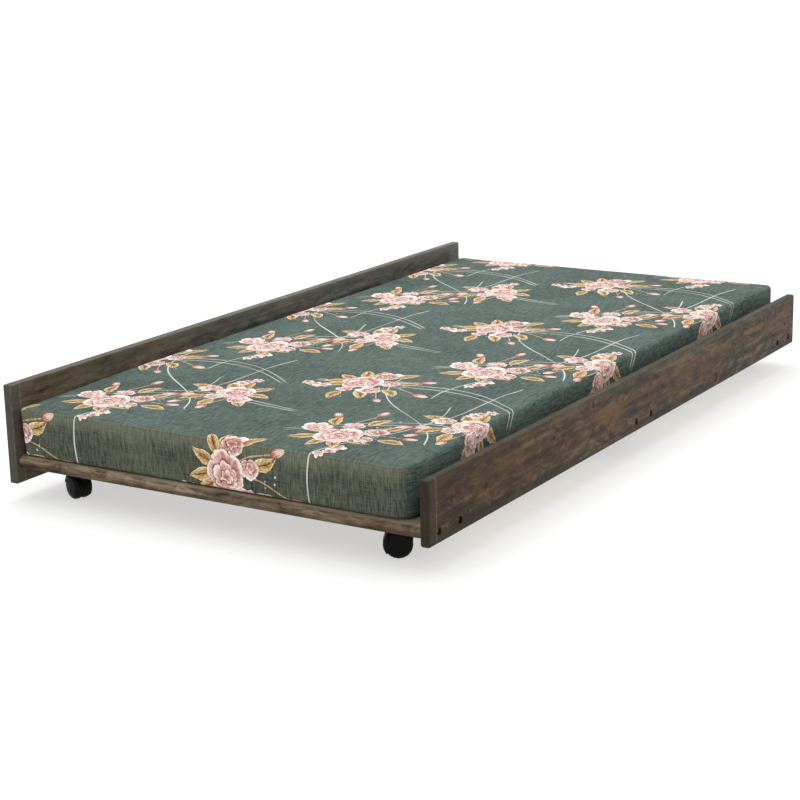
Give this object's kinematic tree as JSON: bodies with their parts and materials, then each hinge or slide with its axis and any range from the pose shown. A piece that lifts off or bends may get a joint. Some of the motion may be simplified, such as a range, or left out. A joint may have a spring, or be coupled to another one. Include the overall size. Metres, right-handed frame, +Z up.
{
  "type": "trundle bed",
  "caption": "Low wooden trundle bed on swivel casters, with side boards, cross rails, a slatted deck and a thin mattress in a printed cover.",
  "frame": {"origin": "on the floor, under the middle of the bed", "axes": "+X along the bed from its near end to its far end, +Y from the low front board to the tall back board, +Z up"},
  "size_m": [1.93, 1.07, 0.2611],
  "materials": {
    "stained_pine_front": "brown-grey driftwood stain, satin, with orange-brown streaks and knots",
    "stained_pine_back": "grey-brown driftwood stain, satin",
    "stained_pine_rail": "lighter grey-brown stain, satin",
    "raw_pine": "unstained sawn pine, matt",
    "printed_cover": "woven cotton, dark sage green, printed with pink flowers, gold leaves and white curves",
    "black_nylon": "moulded black nylon, satin",
    "zinc_steel": "bright zinc plate"
  },
  "bodies": {
    "bed": {"front_board": "stained_pine_front", "back_board": "stained_pine_back", "near_rail": "stained_pine_rail", "middle_rail": "stained_pine_rail", "far_rail": "stained_pine_rail", "ledger_front_near": "raw_pine", "ledger_front_far": "raw_pine", "ledger_back_near": "raw_pine", "ledger_back_far": "raw_pine", "slat_near_1": "raw_pine", "slat_near_2": "raw_pine", "slat_near_3": "raw_pine", "slat_near_4": "raw_pine", "slat_far_1": "raw_pine", "slat_far_2": "raw_pine", "slat_far_3": "raw_pine", "slat_far_4": "raw_pine", "mattress": "printed_cover", "front_screw_1": "zinc_steel", "front_screw_2": "zinc_steel", "front_screw_3": "zinc_steel", "front_screw_4": "zinc_steel", "front_screw_5": "zinc_steel", "front_screw_6": "zinc_steel", "back_screw_1": "zinc_steel", "back_screw_2": "zinc_steel", "back_screw_3": "zinc_steel", "back_screw_4": "zinc_steel", "back_screw_5": "zinc_steel", "back_screw_6": "zinc_steel", "plate_near_front": "zinc_steel", "plate_near_back": "zinc_steel", "plate_far_front": "zinc_steel", "plate_far_back": "zinc_steel"},
    "caster_near_front": {"housing_near_front": "black_nylon", "axle_near_front": "zinc_steel"},
    "wheel_near_front_left": {"wheel_near_front_left": "black_nylon"},
    "wheel_near_front_right": {"wheel_near_front_right": "black_nylon"},
    "caster_near_back": {"housing_near_back": "black_nylon", "axle_near_back": "zinc_steel"},
    "wheel_near_back_left": {"wheel_near_back_left": "black_nylon"},
    "wheel_near_back_right": {"wheel_near_back_right": "black_nylon"},
    "caster_far_front": {"housing_far_front": "black_nylon", "axle_far_front": "zinc_steel"},
    "wheel_far_front_left": {"wheel_far_front_left": "black_nylon"},
    "wheel_far_front_right": {"wheel_far_front_right": "black_nylon"},
    "caster_far_back": {"housing_far_back": "black_nylon", "axle_far_back": "zinc_steel"},
    "wheel_far_back_left": {"wheel_far_back_left": "black_nylon"},
    "wheel_far_back_right": {"wheel_far_back_right": "black_nylon"}
  },
  "joints": [
    {"name": "swivel_near_front", "type": "hinge", "parent": "bed", "child": "caster_near_front", "pos_m": [-0.887, -0.398, 0.0698], "axis": [0, 0, 1], "continuous": true},
    {"name": "roll_near_front_left", "type": "hinge", "parent": "caster_near_front", "child": "wheel_near_front_left", "pos_m": [-0.87852, -0.41157, 0.029], "axis": [0.848, 0.5299, 0], "continuous": true},
    {"name": "roll_near_front_right", "type": "hinge", "parent": "caster_near_front", "child": "wheel_near_front_right", "pos_m": [-0.87852, -0.41157, 0.029], "axis": [0.848, 0.5299, 0], "continuous": true},
    {"name": "swivel_near_back", "type": "hinge", "parent": "bed", "child": "caster_near_back", "pos_m": [-0.887, 0.398, 0.0698], "axis": [0, 0, 1], "continuous": true},
    {"name": "roll_near_back_left", "type": "hinge", "parent": "caster_near_back", "child": "wheel_near_back_left", "pos_m": [-0.88127, 0.41294, 0.029], "axis": [-0.9336, 0.3584, 0], "continuous": true},
    {"name": "roll_near_back_right", "type": "hinge", "parent": "caster_near_back", "child": "wheel_near_back_right", "pos_m": [-0.88127, 0.41294, 0.029], "axis": [-0.9336, 0.3584, 0], "continuous": true},
    {"name": "swivel_far_front", "type": "hinge", "parent": "bed", "child": "caster_far_front", "pos_m": [0.887, -0.398, 0.0698], "axis": [0, 0, 1], "continuous": true},
    {"name": "roll_far_front_left", "type": "hinge", "parent": "caster_far_front", "child": "wheel_far_front_left", "pos_m": [0.89926, -0.40829, 0.029], "axis": [0.6428, 0.766, 0], "continuous": true},
    {"name": "roll_far_front_right", "type": "hinge", "parent": "caster_far_front", "child": "wheel_far_front_right", "pos_m": [0.89926, -0.40829, 0.029], "axis": [0.6428, 0.766, 0], "continuous": true},
    {"name": "swivel_far_back", "type": "hinge", "parent": "bed", "child": "caster_far_back", "pos_m": [0.887, 0.398, 0.0698], "axis": [0, 0, 1], "continuous": true},
    {"name": "roll_far_back_left", "type": "hinge", "parent": "caster_far_back", "child": "wheel_far_back_left", "pos_m": [0.88286, 0.41346, 0.029], "axis": [-0.9659, -0.2588, 0], "continuous": true},
    {"name": "roll_far_back_right", "type": "hinge", "parent": "caster_far_back", "child": "wheel_far_back_right", "pos_m": [0.88286, 0.41346, 0.029], "axis": [-0.9659, -0.2588, 0], "continuous": true}
  ]
}
